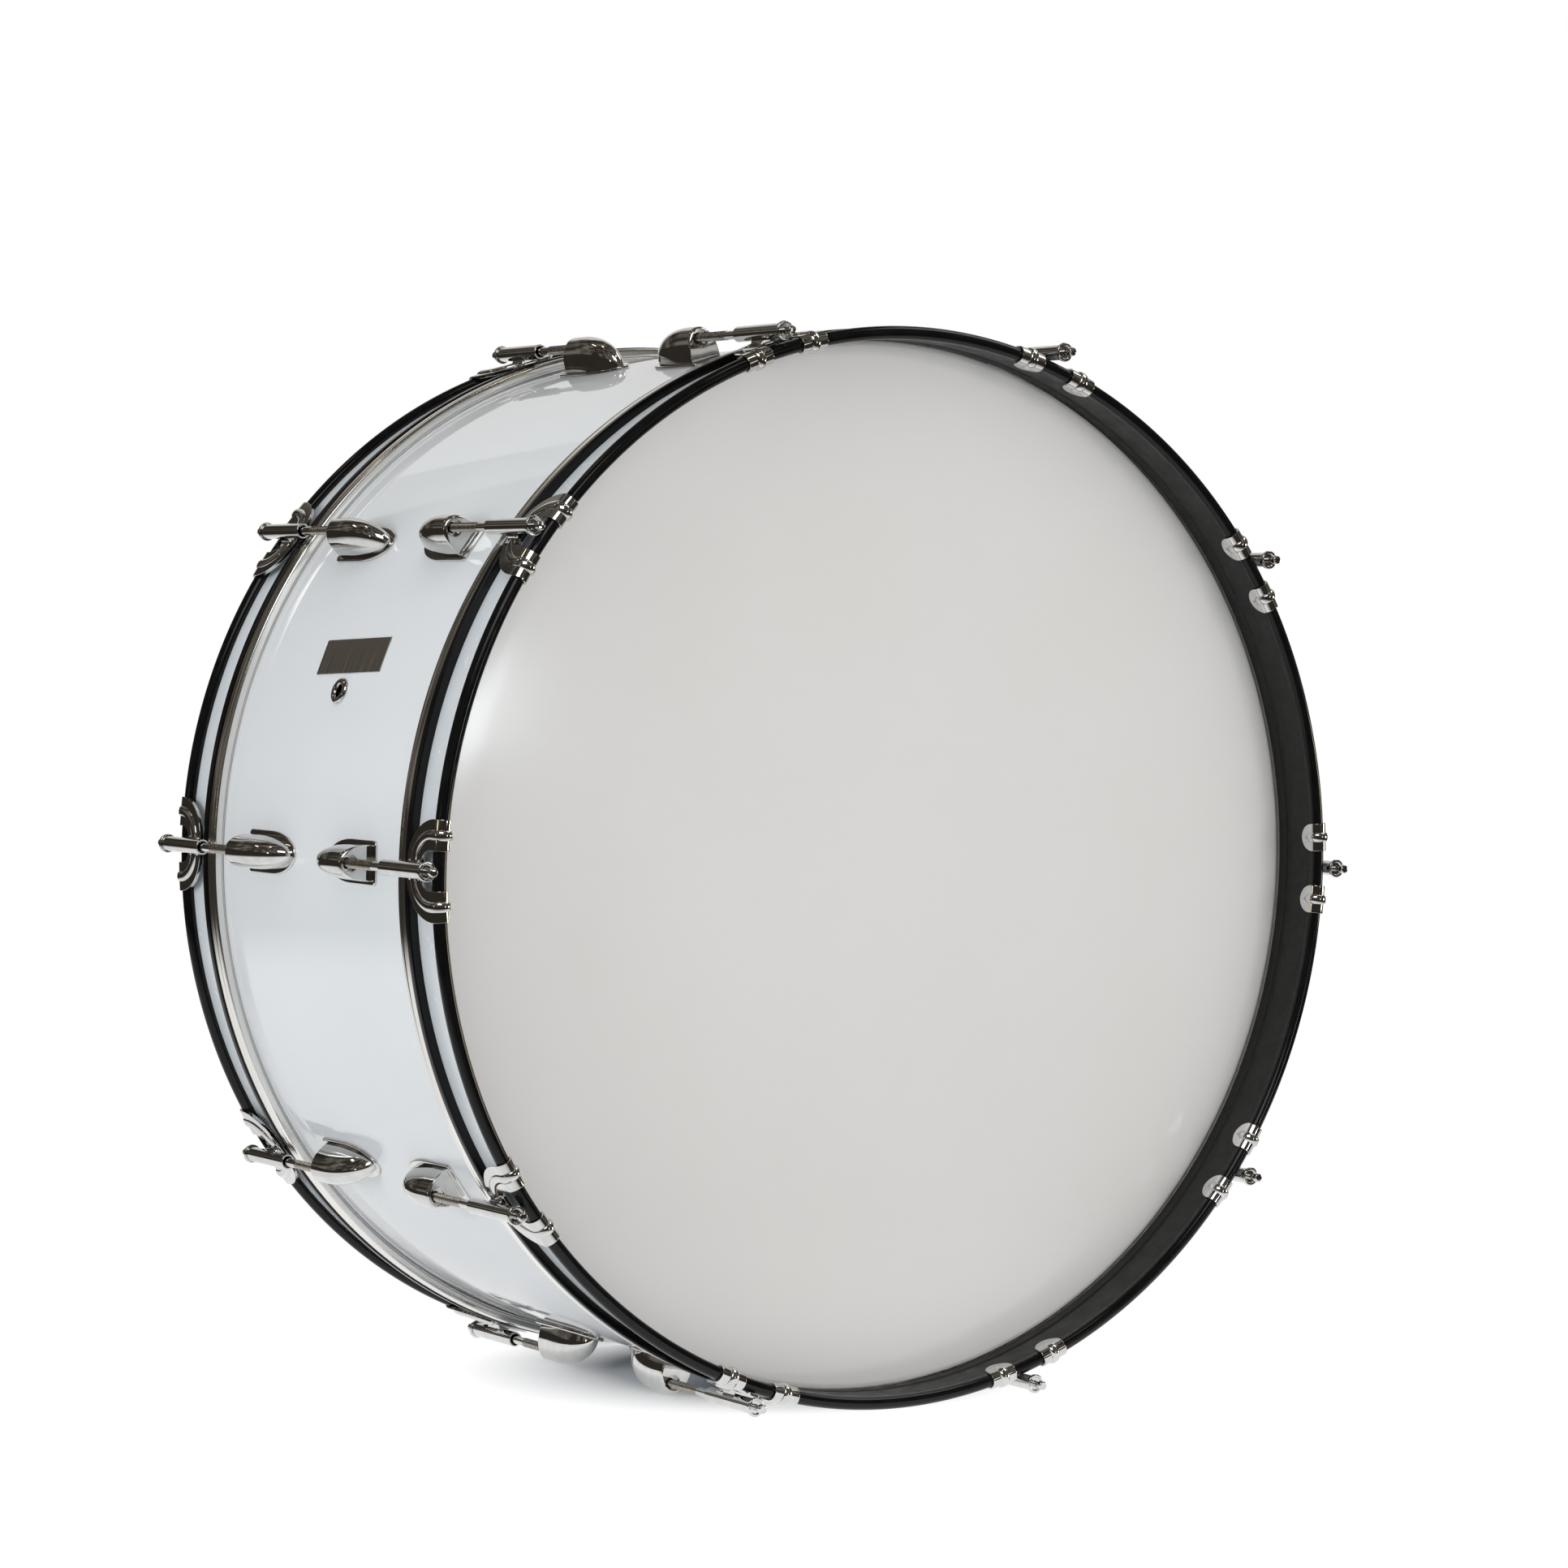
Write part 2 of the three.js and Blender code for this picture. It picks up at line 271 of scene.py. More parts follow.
# Cards in the reflections and lamps: name, place, what they face, size, colour, strength
drum_middle = (0, 0, hoop_radius * MM)
head_edge = (-0.3, -0.13, 0.4)
upper_head_edge = (-0.25, -0.13, 0.6)
cards = (("window_card", (1.405, -3.41, 0.41), head_edge, (0.37, 0.13), (0.9, 0.95, 1), 15),
         ("pale_card", (1.73, -3.24, 0.93), upper_head_edge, (0.3, 0.46), (1, 0.98, 0.95), 1.1),
         ("key_card", (-1.62, -2.6, 2.6), drum_middle, (2.2, 1.7), (1, 1, 1), 2.6),
         ("fill_card", (2.48, -0.66, 3.4), drum_middle, (1.7, 1.7), (1, 1, 1), 2.2))
lamps = (("top_softbox", (-0.6, -0.7, 3.0), drum_middle, (2.6, 2.2), (1, 0.94, 0.86), 12),
         ("front_softbox", (0.9, -4.2, 0.9), drum_middle, (2.2, 1.6), (1, 1, 1), 52.5),
         ("side_softbox", (-3.6, -0.6, 0.7), drum_middle, (1.2, 1.2), (0.94, 0.97, 1), 36.5))

# Camera at the photograph's angle, found from the rod heads and the hoops
camera_place = (-1.5793, -2.3926, 0.4591)
camera_turn = tuple(math.radians(angle) for angle in (88.4746, -1.5527, -33.6514))
camera_lens = 101.26
camera_sensor = 36

# How finely round shapes are drawn
ring_steps = 360
tube_steps = 40
thread_sides = 20
thread_steps = 4
crown_steps = 8
inner_crown_steps = 6
bead_steps = 36
hook_steps = 18
arm_steps = 18
tongue_steps = 6
rib_steps = 10
edge_steps = 2
face_steps = 6
nose_steps = 36
arch_steps = 48
under_steps = 8
foot_nose_steps = 36
foot_corner_steps = 6
foot_edge_steps = 3
vent_steps = 10
plate_rows = 12
room_rows = 23
room_columns = 64
arc_step = math.radians(15)
sharp_angle = math.radians(38)
merge_distance = MM / 1000


# Outlines
def arc(x, y, radius, start, end, steps):
    """Points of a circular arc, both ends included."""
    points = []
    for i in range(steps + 1):
        angle = start + (end - start) * i / steps
        points.append((x + radius * math.cos(angle), y + radius * math.sin(angle)))
    return points


def filleted(corners, closed=True):
    """Outline of (x, y, radius) corners, each rounded with its own radius."""
    outline = []
    count = len(corners)
    for i, (x, y, radius) in enumerate(corners):
        here = Vector((x, y))
        if radius == 0 or (not closed and i in (0, count - 1)):
            outline.append((x, y))
            continue
        back = (Vector(corners[i - 1][:2]) - here).normalized()
        ahead = (Vector(corners[(i + 1) % count][:2]) - here).normalized()
        half = back.angle(ahead) / 2
        centre = here + (back + ahead).normalized() * radius / math.sin(half)
        first = here + back * radius / math.tan(half) - centre
        last = here + ahead * radius / math.tan(half) - centre
        start = math.atan2(first.y, first.x)
        sweep = (math.atan2(last.y, last.x) - start + math.pi) % TURN - math.pi
        steps = max(2, math.ceil(abs(sweep) / arc_step))
        outline += arc(centre.x, centre.y, radius, start, start + sweep, steps)
    return outline


def inset(outline, distance):
    """A closed outline drawn anticlockwise, moved inward by a distance."""
    moved = []
    for i, point in enumerate(outline):
        before = Vector(outline[i - 1])
        after = Vector(outline[(i + 1) % len(outline)])
        along = (after - before).normalized()
        moved.append((point[0] - along.y * distance, point[1] + along.x * distance))
    return moved


# Bodies and pieces
class Body:
    """Points in millimetres, with faces and the place of each face's material in a list."""

    def __init__(self):
        self.points = []
        self.faces = []
        self.looks = []

    def skin(self, rings, looks=0, loop=False, capped=False):
        """Joins a row of closed rings that all have as many points."""
        start = len(self.points)
        count = len(rings[0])
        for ring in rings:
            self.points += ring
        for i in range(len(rings) if loop else len(rings) - 1):
            near = start + i * count
            far = start + (i + 1) % len(rings) * count
            for j in range(count):
                k = (j + 1) % count
                self.faces.append((near + j, near + k, far + k, far + j))
                self.looks.append(looks[j] if isinstance(looks, list) else looks)
        if capped:
            last = start + (len(rings) - 1) * count
            self.faces.append(tuple(range(start, start + count)))
            self.faces.append(tuple(range(last, last + count)))
            self.looks += [looks, looks]

    def mesh(self, name, materials):
        made = bpy.data.meshes.new(name)
        made.from_pydata([Vector(point) * MM for point in self.points], [], self.faces)
        for material in materials:
            made.materials.append(material)
        made.polygons.foreach_set("material_index", self.looks)
        working = bmesh.new()
        working.from_mesh(made)
        bmesh.ops.remove_doubles(working, verts=working.verts, dist=merge_distance)
        bmesh.ops.recalc_face_normals(working, faces=working.faces)
        working.to_mesh(made)
        working.free()
        made.shade_smooth()
        made.set_sharp_from_angle(angle=sharp_angle)
        return made


def place(end, station=0):
    """Where a piece of one end and station goes."""
    spot = Matrix.Translation((0, 0, hoop_radius * MM)) @ Matrix.Rotation(-station * station_step, 4, "Y")
    return spot @ Matrix.Rotation(math.pi, 4, "X") if end == "front" else spot


def new_object(name, data):
    item = bpy.data.objects.new(name, data)
    bpy.context.scene.collection.objects.link(item)
    return item


def add_piece(name, mesh, spot, body, nodes, weighted=False):
    piece = new_object(name, mesh)
    piece.matrix_world = spot
    if weighted:
        modifier = piece.modifiers.new("even shading", "WEIGHTED_NORMAL")
        modifier.keep_sharp = True
    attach(piece, body)
    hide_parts(*nodes)
    return piece


def around_drum(outline, looks=0):
    """A closed outline of (distance from the axis, y) turned round the drum's axis."""
    body = Body()
    rings = []
    for i in range(ring_steps):
        angle = TURN * i / ring_steps
        rings.append([(r * math.cos(angle), y, r * math.sin(angle)) for r, y in outline])
    body.skin(rings, looks, loop=True)
    return body


def rod_ring(radius, y):
    """A circle round the axis of the rod."""
    angles = [TURN * i / tube_steps for i in range(tube_steps)]
    return [(rod_circle + radius * math.cos(a), y, radius * math.sin(a)) for a in angles]


def wrapped(r, y, s):
    """A point at a distance measured round the shell instead of straight across."""
    angle = s / shell_radius
    return (r * math.cos(angle), y, r * math.sin(angle))


# Materials
def new_material(name, color, metallic, roughness):
    material = bpy.data.materials.new(name)
    material.use_nodes = True
    shader = material.node_tree.nodes["Principled BSDF"]
    shader.inputs["Base Color"].default_value = (*color, 1)
    shader.inputs["Metallic"].default_value = metallic
    shader.inputs["Roughness"].default_value = roughness
    return material, material.node_tree, shader


def link(tree, source, target):
    tree.links.new(source, target)


def pattern(tree, scale, detail=3, stretch=(1, 1, 1), shuffled=True):
    """A noise in the piece's own space, at another place on each copy of the piece."""
    coordinates = tree.nodes.new("ShaderNodeTexCoord")
    mapping = tree.nodes.new("ShaderNodeMapping")
    mapping.inputs["Scale"].default_value = stretch
    texture = tree.nodes.new("ShaderNodeTexNoise")
    texture.inputs["Scale"].default_value = scale
    texture.inputs["Detail"].default_value = detail
    link(tree, coordinates.outputs["Object"], mapping.inputs["Vector"])
    link(tree, mapping.outputs["Vector"], texture.inputs["Vector"])
    if shuffled:
        copy = tree.nodes.new("ShaderNodeObjectInfo")
        link(tree, copy.outputs["Random"], mapping.inputs["Location"])
    return texture.outputs["Fac"]


def spread(tree, factor, socket, low, high, start=0.3, end=0.7):
    """Drives a number socket between two values with a pattern."""
    node = tree.nodes.new("ShaderNodeMapRange")
    node.inputs["From Min"].default_value = start
    node.inputs["From Max"].default_value = end
    node.inputs["To Min"].default_value = low
    node.inputs["To Max"].default_value = high
    link(tree, factor, node.inputs["Value"])
    link(tree, node.outputs["Result"], socket)


def tint(tree, factor, socket, dark, light, start=0.3, end=0.7):
    """Drives a colour socket between two colours with a pattern."""
    node = tree.nodes.new("ShaderNodeValToRGB")
    node.color_ramp.elements[0].position = start
    node.color_ramp.elements[0].color = (*dark, 1)
    node.color_ramp.elements[1].position = end
    node.color_ramp.elements[1].color = (*light, 1)
    link(tree, factor, node.inputs["Fac"])
    link(tree, node.outputs["Color"], socket)


def relief(tree, shader, layers):
    """Raises the surface by patterns, each with its height in millimetres."""
    normal = None
    for factor, height in layers:
        node = tree.nodes.new("ShaderNodeBump")
        node.inputs["Distance"].default_value = height * MM
        link(tree, factor, node.inputs["Height"])
        if normal:
            link(tree, normal, node.inputs["Normal"])
        normal = node.outputs["Normal"]
    link(tree, normal, shader.inputs["Normal"])


def wrap_material():
    material, tree, shader = new_material("gloss_wrap", (0.85, 0.87, 0.88), 0, 0.03)
    tint(tree, pattern(tree, 9), shader.inputs["Base Color"], (0.835, 0.855, 0.87), (0.865, 0.88, 0.885))
    spread(tree, pattern(tree, 60), shader.inputs["Roughness"], 0.02, 0.05)
    relief(tree, shader, [(pattern(tree, 9, 1), gloss_wave)])
    return material


def ply_material():
    material, tree, shader = new_material("bare_ply", (0.55, 0.38, 0.22), 0, 0.6)
    grain = pattern(tree, 40, 6, (1, 14, 1))
    tint(tree, grain, shader.inputs["Base Color"], (0.42, 0.27, 0.14), (0.66, 0.48, 0.30))
    relief(tree, shader, [(grain, ply_grain)])
    return material


def film_material():
    material, tree, shader = new_material("smooth_film", (0.81, 0.79, 0.765), 0, 0.12)
    tint(tree, pattern(tree, 5), shader.inputs["Base Color"], (0.80, 0.775, 0.745), (0.82, 0.80, 0.78))
    spread(tree, pattern(tree, 25), shader.inputs["Roughness"], 0.09, 0.12)
    relief(tree, shader, [(pattern(tree, 5, 1), gloss_wave)])
    return material


def rolled_metal_material():
    material, tree, shader = new_material("rolled_aluminium", (0.82, 0.81, 0.78), 1, 0.15)
    lines = pattern(tree, 260, 2, (0.02, 8, 0.02))
    tint(tree, lines, shader.inputs["Base Color"], (0.76, 0.75, 0.72), (0.87, 0.86, 0.83))
    spread(tree, lines, shader.inputs["Roughness"], 0.1, 0.17)
    relief(tree, shader, [(lines, fine_line)])
    return material


def gloss_black_material():
    material, tree, shader = new_material("gloss_black", (0.004, 0.004, 0.004), 0, 0.12)
    shader.inputs["Specular IOR Level"].default_value = 0.27
    spread(tree, pattern(tree, 160), shader.inputs["Roughness"], 0.08, 0.16)
    tint(tree, pattern(tree, 90), shader.inputs["Base Color"], (0.003, 0.003, 0.003), (0.006, 0.006, 0.006))
    relief(tree, shader, [(pattern(tree, 30, 1), fine_line)])
    return material


def satin_black_material():
    material, tree, shader = new_material("satin_black", (0.01, 0.01, 0.01), 0, 0.45)
    shader.inputs["Specular IOR Level"].default_value = 0.25
    tint(tree, pattern(tree, 240, 5), shader.inputs["Base Color"], (0.007, 0.007, 0.007),
         (0.014, 0.014, 0.013))
    spread(tree, pattern(tree, 90), shader.inputs["Roughness"], 0.36, 0.5)
    relief(tree, shader, [(pattern(tree, 1500, 2), fine_grain)])
    return material


def trim_material():
    material, tree, shader = new_material("pale_trim", (0.72, 0.75, 0.77), 0, 0.2)
    tint(tree, pattern(tree, 30), shader.inputs["Base Color"], (0.69, 0.72, 0.74), (0.75, 0.78, 0.80))
    spread(tree, pattern(tree, 80), shader.inputs["Roughness"], 0.16, 0.28)
    relief(tree, shader, [(pattern(tree, 40, 1), trim_wave)])
    return material


def chrome_material():
    material, tree, shader = new_material("polished_chrome", (0.66, 0.66, 0.65), 1, 0.05)
    spread(tree, pattern(tree, 220, 4), shader.inputs["Roughness"], 0.03, 0.08)
    tint(tree, pattern(tree, 130), shader.inputs["Base Color"], (0.62, 0.615, 0.60), (0.70, 0.70, 0.69))
    relief(tree, shader, [(pattern(tree, 90, 1), fine_line)])
    return material


def steel_material():
    material, tree, shader = new_material("threaded_steel", (0.42, 0.39, 0.345), 1, 0.3)
    tint(tree, pattern(tree, 700), shader.inputs["Base Color"], (0.30, 0.27, 0.23), (0.52, 0.49, 0.44))
    spread(tree, pattern(tree, 500), shader.inputs["Roughness"], 0.2, 0.4)
    relief(tree, shader, [(pattern(tree, 1500, 2), fine_grain)])
    return material


def plate_material():
    material, tree, shader = new_material("brushed_plate", (0.5, 0.48, 0.45), 1, 0.38)
    lines = pattern(tree, 420, 3, (0.05, 3, 0.05))
    tint(tree, lines, shader.inputs["Base Color"], (0.36, 0.345, 0.32), (0.78, 0.755, 0.71))
    spread(tree, lines, shader.inputs["Roughness"], 0.34, 0.55)
    relief(tree, shader, [(lines, fine_line), (pattern(tree, 60, 1), plate_wave)])
    return material


wrap = wrap_material()
ply = ply_material()
film = film_material()
rolled_metal = rolled_metal_material()
gloss_black = gloss_black_material()
satin_black = satin_black_material()
trim = trim_material()
chrome = chrome_material()
steel = steel_material()
plate_metal = plate_material()


# Shell with its vent and bare plate
def vent_ring(radius, rise):
    """A circle round the vent's axis, at a height over the shell."""
    angles = [TURN * i / tube_steps for i in range(tube_steps)]
    return [(shell_radius + rise, radius * math.cos(a), radius * math.sin(a)) for a in angles]


def at_vent(point):
    return Matrix.Rotation(-vent_angle, 3, "Y") @ Vector(point)


def shell_mesh():
    edge = shell_edge_round
    inner = shell_radius - shell_wall
    outline = filleted([
        (inner, -shell_half + edge, 0), (shell_radius - edge, -shell_half, ply_edge_round),
        (shell_radius, -shell_half, edge), (shell_radius, shell_half, edge),
        (shell_radius - edge, shell_half, ply_edge_round), (inner, shell_half - edge, 0)])
    looks = [0 if min(a[0], b[0]) > shell_radius - edge / 2 else 1
             for a, b in zip(outline, outline[1:] + outline[:1])]
    mesh = around_drum(outline, looks).mesh("shell_body", [wrap, ply])
    cutter = Body()
    depth = shell_wall * 2
    cutter.skin([[at_vent(p) for p in vent_ring(vent_barrel + vent_gap, rise)] for rise in (-depth, depth)],
                capped=True)
    return drilled(mesh, cutter.mesh("vent_hole", [ply]))


def drilled(mesh, cutter_mesh):
    """The mesh with the cutter taken out of it, its round faces shaded as before."""
    target = new_object("drill_target", mesh)
    cutter = new_object("drill_cutter", cutter_mesh)
    modifier = target.modifiers.new("hole", "BOOLEAN")
    modifier.operation = "DIFFERENCE"
    modifier.solver = "EXACT"
    modifier.object = cutter
    bpy.context.view_layer.update()
    evaluated = target.evaluated_get(bpy.context.evaluated_depsgraph_get())
    result = bpy.data.meshes.new_from_object(evaluated)
    for item in (target, cutter):
        bpy.data.objects.remove(item)
    result.shade_smooth()
    result.set_sharp_from_angle(angle=sharp_angle)
    return result


def vent_mesh():
    """Domed eyelet whose barrel goes through the shell wall."""
    crown = (vent_flange + vent_bore) / 2
    round_size = vent_flange - crown
    outline = [(vent_bore, -shell_wall), (vent_barrel, -shell_wall), (vent_barrel, vent_gap),
               (vent_flange, vent_gap)]
    for r, h in arc(crown, 0, round_size, 0, math.pi, vent_steps)[1:]:
        outline.append((r, vent_gap + h * vent_rise / round_size))
    body = Body()
    body.skin([[at_vent(p) for p in vent_ring(r, h)] for r, h in outline], loop=True)
    return body.mesh("vent_body", [chrome])


def plate_mesh():
    """Thin bare plate bent to the shell, a little askew on it."""
    outline = filleted([
        (-plate_half_length, -plate_half_width, plate_corner),
        (plate_half_length, -plate_half_width, plate_corner),
        (plate_half_length, plate_half_width, plate_corner),
        (-plate_half_length, plate_half_width, plate_corner)])
    askew = Matrix.Rotation(plate_tilt, 2)
    outline = [tuple(askew @ Vector(point)) for point in outline]
    turn = Matrix.Rotation(-plate_angle, 3, "Y")
    low = shell_radius + plate_gap
    high = low + plate_thickness
    rings = [[(low, a, b) for a, b in outline], [(high - plate_round, a, b) for a, b in outline]]
    top = inset(outline, plate_round)
    for i in range(plate_rows):
        share = 1 - i / plate_rows
        rings.append([(high, a * share, b * share) for a, b in top])
    body = Body()
    body.skin([[turn @ Vector(wrapped(r, plate_centre + a, b)) for r, a, b in ring] for ring in rings],
              capped=True)
    return body.mesh("plate_body", [plate_metal])


def add_shell():
    middle = place("rear")
    add_piece("wrapped_shell", shell_mesh(), middle, "drum", ["shell_with_rear_lugs"])
    add_piece("vent_eyelet", vent_mesh(), middle, "drum", ["vent_grommet"])
    add_piece("bare_plate", plate_mesh(), middle, "drum", [])


# Heads and hoops
def head_mesh():
    crown = collar_radius - crown_reach
    inner = crown_reach - film_thickness
    low = head_plane - film_thickness
    outline = [(crown * share, head_plane) for share in head_flat_shares]
    outline += arc(crown, head_plane - crown_reach, crown_reach, TURN / 4, 0, crown_steps)
    outline += [(collar_radius, head_plane - collar_depth),
                (collar_radius - film_thickness, head_plane - collar_depth)]
    outline += arc(crown, head_plane - crown_reach, inner, 0, TURN / 4, inner_crown_steps)
    outline += [(crown * share, low) for share in reversed(head_flat_shares)]
    angles = [TURN * i / ring_steps for i in range(ring_steps)]
    body = Body()
    body.skin([[(r * math.cos(a), y, r * math.sin(a)) for a in angles] for r, y in outline])
    return body.mesh("head_body", [film])


def flesh_hoop_mesh():
    """Ring with a rounded corner beside the shell, a fine groove round it and an edge under the hoop."""
    outer = flesh_inner + flesh_wall
    groove = flesh_low.y + (flesh_high.y - flesh_low.y) * flesh_groove_share
    groove_end = groove + flesh_groove_width
    slope = flesh_groove_width * flesh_groove_slope_share
    floor = outer - flesh_groove_depth
    outline = filleted([
        (flesh_inner, flesh_low.y, flesh_edge_round), (outer, flesh_low.y, flesh_corner),
        (outer, groove, flesh_groove_round), (floor, groove + slope, flesh_groove_round),
        (floor, groove_end - slope, flesh_groove_round), (outer, groove_end, flesh_groove_round),
        (outer, flesh_high.y, flesh_edge_round), (flesh_inner, flesh_high.y, 0)])
    return around_drum(outline).mesh("flesh_hoop_body", [rolled_metal])


def bead_start():
    """Where the bead begins on the recessed wall."""
    wall = hoop_radius - wall_recess
    return bead_centre - math.sqrt(bead_radius ** 2 - (bead_centre_radius - wall) ** 2)


def hoop_mesh():
    """Flange, recessed wall for the trim, rolled bead, and an inner wall with a groove near the head."""
    wall = hoop_radius - wall_recess - strip_thickness
    flange_end = hoop_base + flange_depth
    outside = filleted([
        (hoop_inner, hoop_base, 0), (hoop_radius, hoop_base, flange_round),
        (hoop_radius, flange_end, flange_round), (wall, flange_end, wall_corner),
        (wall, bead_start(), 0)], closed=False)
    turn = math.acos((wall - bead_centre_radius) / bead_radius)
    rim = arc(bead_centre_radius, bead_centre, bead_radius, -turn,
              math.pi + math.acos(1 - bead_step / bead_radius), bead_steps)
    groove = hoop_base + inner_groove_start
    groove_end = groove + inner_groove_width
    slope = inner_groove_width * inner_groove_slope_share
    floor = hoop_inner + inner_groove_depth
    inside = filleted([
        (hoop_inner, rim[-1][1] - inner_wall_land, 0), (hoop_inner, groove_end, inner_groove_round),
        (floor, groove_end - slope, inner_groove_round), (floor, groove + slope, inner_groove_round),
        (hoop_inner, groove, inner_groove_round), (hoop_inner, hoop_base + inner_wall_land, 0)],
        closed=False)
    outline = outside + rim + inside
    inner_start = len(outside) + len(rim) - 1
    looks = [0 if i < inner_start else 1 for i in range(len(outline))]
    return around_drum(outline, looks).mesh("hoop_body", [gloss_black, satin_black])


def trim_mesh():
    """Pale strip that covers the recessed wall."""
    outer = hoop_radius - wall_recess
    floor = outer - strip_thickness + strip_gap / 2
    start = hoop_base + flange_depth + strip_gap
    end = bead_start() - strip_gap
    outline = filleted([
        (floor, start, 0), (outer, start, strip_round), (outer, end, strip_round), (floor, end, 0)])
    return around_drum(outline).mesh("trim_body", [trim])


def add_rings():
    meshes = [
        ("{}_film", head_mesh(), "drum", "head_film", "{}_head"),
        ("{}_flesh_ring", flesh_hoop_mesh(), "drum", "flesh_hoop_metal", "{}_flesh_hoop"),
        ("{}_black_hoop", hoop_mesh(), "{}_rim", "black_hoop", "{}_hoop"),
        ("{}_trim_strip", trim_mesh(), "{}_rim", "black_hoop", None)]
    for end in ("front", "rear"):
        for name, mesh, body, slot, node in meshes:
            nodes = [node.format(end)] if node else []
            add_piece(name.format(end), mesh, place(end), body.format(end), nodes)


# Tension rods
def thread_rings():
    """Screw thread: the crest climbs one pitch in a turn."""
    steps = round((thread_end - thread_start) / thread_pitch * thread_steps)
    rings = []
    for i in range(steps + 1):
        y = thread_start + (thread_end - thread_start) * i / steps
        ring = []
        for j in range(thread_sides):
            angle = TURN * j / thread_sides
            height = abs((y / thread_pitch - angle / TURN) % 1 * 2 - 1)
            radius = rod_radius - thread_depth * (1 - height)
            ring.append((rod_circle + radius * math.cos(angle), y, radius * math.sin(angle)))
        rings.append(ring)
    return rings


def rod_mesh():
    collar_end = collar_start + rod_collar_depth
    core = rod_radius - thread_depth
    key_start = key_end - key_length
    body = Body()
    body.skin(thread_rings(), 1, capped=True)
    body.skin([rod_ring(r, y) for r, y in [(0, rod_end), (core, rod_end), (core, thread_start)]], 1)
    shank_start = thread_end - shank_overlap
    recess_floor = collar_end - rod_recess_depth
    outline = [(0, shank_start)]
    outline += filleted([
        (shank_radius, shank_start, shank_round), (shank_radius, collar_start, 0),
        (rod_collar_radius, collar_start, rod_collar_round),
        (rod_collar_radius, collar_end, rod_collar_round), (rod_recess_radius, collar_end, rod_recess_round),
        (rod_recess_radius - rod_recess_taper, recess_floor, rod_recess_round),
        (rod_neck_radius, recess_floor, rod_recess_round), (rod_neck_radius, key_start, rod_recess_round),
        (key_radius, key_start, key_inner_round), (key_radius, key_end, key_outer_round), (0, key_end, 0)],
        closed=False)
    body.skin([rod_ring(r, y) for r, y in outline], 0)
    return body.mesh("rod_body", [chrome, steel])


# Claws
def over_bead():
    """Length of the hook's underside from one side of the bead to the other."""
    return math.pi * (bead_radius + hook_clearance)


def claw_path():
    """Middle line of the casting's band as (along the hook or arm, across), tip to tip.

    The first number is 0 where the band leaves the bead towards the lug, grows over the bead and
    back along the inside of the hoop, and falls below 0 on the arm.
    """
    over = over_bead()
    tip = over + tongue_reach
    arm = (arm_reach + window_reach) / 2
    bend = hook_spread - fork_half_width
    half = []
    for i in range(tongue_steps + 1):
        share = (i / tongue_steps) ** tongue_bunching
        angle = tongue_first_angle + (tongue_last_angle - tongue_first_angle) * share
        half.append((tip - hook_half_width * (1 - math.cos(angle)), hook_spread))
    half += [(over - over * i / hook_steps, hook_spread) for i in range(hook_steps)]
    for i in range(arm_steps + 1):
        angle = TURN / 4 * i / arm_steps
        half.append((-arm * math.sin(angle), fork_half_width + bend * math.cos(angle)))
    return half + [(p, -s) for p, s in reversed(half)], tip


def band_half_width(p, tip):
    """The band narrows in the arm and ends in half a circle at the tongue."""
    left = tip - p
    if left < hook_half_width:
        squared = hook_half_width ** 2 - (hook_half_width - left) ** 2
        return math.sqrt(max(squared, tongue_tip_half_width ** 2))
    arm_half = (arm_reach - window_reach) / 2
    share = min(max(-p / arm_reach, 0), 1)
    return hook_half_width + (arm_half - hook_half_width) * share


def band_section(half, rib_share):
    """Cross-section of the band: flat underneath, a round rib along the middle."""
    edge = min(cast_round, half * cast_round_share)
    top = hook_thickness
    rib = min(rib_half_width, half * rib_width_share) * max(rib_share, rib_least_share)
    corners = [(-half, top, edge), (-half, 0, edge), (half, 0, edge), (half, top, edge)]
    section = filleted(corners, closed=False)[1:-1]
    section += arc(half - edge, top - edge, edge, 0, TURN / 4, edge_steps)
    for i in range(rib_steps + 1):
        angle = math.pi * i / rib_steps
        section.append((rib * math.cos(angle), top + rib_rise * rib_share * math.sin(angle)))
    section += arc(edge - half, top - edge, edge, TURN / 4, TURN / 2, edge_steps)
    return section


def on_claw(p, s, h):
    """A point of the band laid over the bead, h above the surface it clips on."""
    under = bead_radius + hook_clearance
    reach = under + h
    over = over_bead()
    if p <= 0:
        sunk = min(max((-p - bead_radius) / arm_sink, 0), 1)
        drop = arm_sink * sunk if h < hook_thickness / 2 else 0
        r, y = bead_centre_radius + reach - drop, bead_centre + p
    elif p < over:
        angle = p / under
        r, y = bead_centre_radius + reach * math.cos(angle), bead_centre + reach * math.sin(angle)
    else:
        r, y = bead_centre_radius - reach, bead_centre - (p - over)
    angle = s / bead_centre_radius
    return (r * math.cos(angle), y, r * math.sin(angle))


def claw_band(body):
    path, tip = claw_path()
    rings = []
    for i, (p, s) in enumerate(path):
        before = Vector(path[max(i - 1, 0)])
        after = Vector(path[min(i + 1, len(path) - 1)])
        along = (after - before).normalized()
        half = band_half_width(p, tip)
        rib_left = min(max((tip - p - rib_tip_gap) / rib_half_width, 0), 1)
        rib_share = math.sqrt(1 - (1 - rib_left) ** 2)
        section = band_section(half, rib_share)
        rings.append([on_claw(p + along.y * v, s - along.x * v, h) for v, h in section])
    body.skin(rings, capped=True)


def claw_tube(body):
    start = tube_end - tube_length
    outline = filleted([
        (tube_bore, start, tube_bore_round), (tube_radius, start, tube_round),
        (tube_radius, tube_end, tube_round), (tube_bore, tube_end, tube_bore_round)])
    body.skin([rod_ring(r, y) for r, y in outline], loop=True)


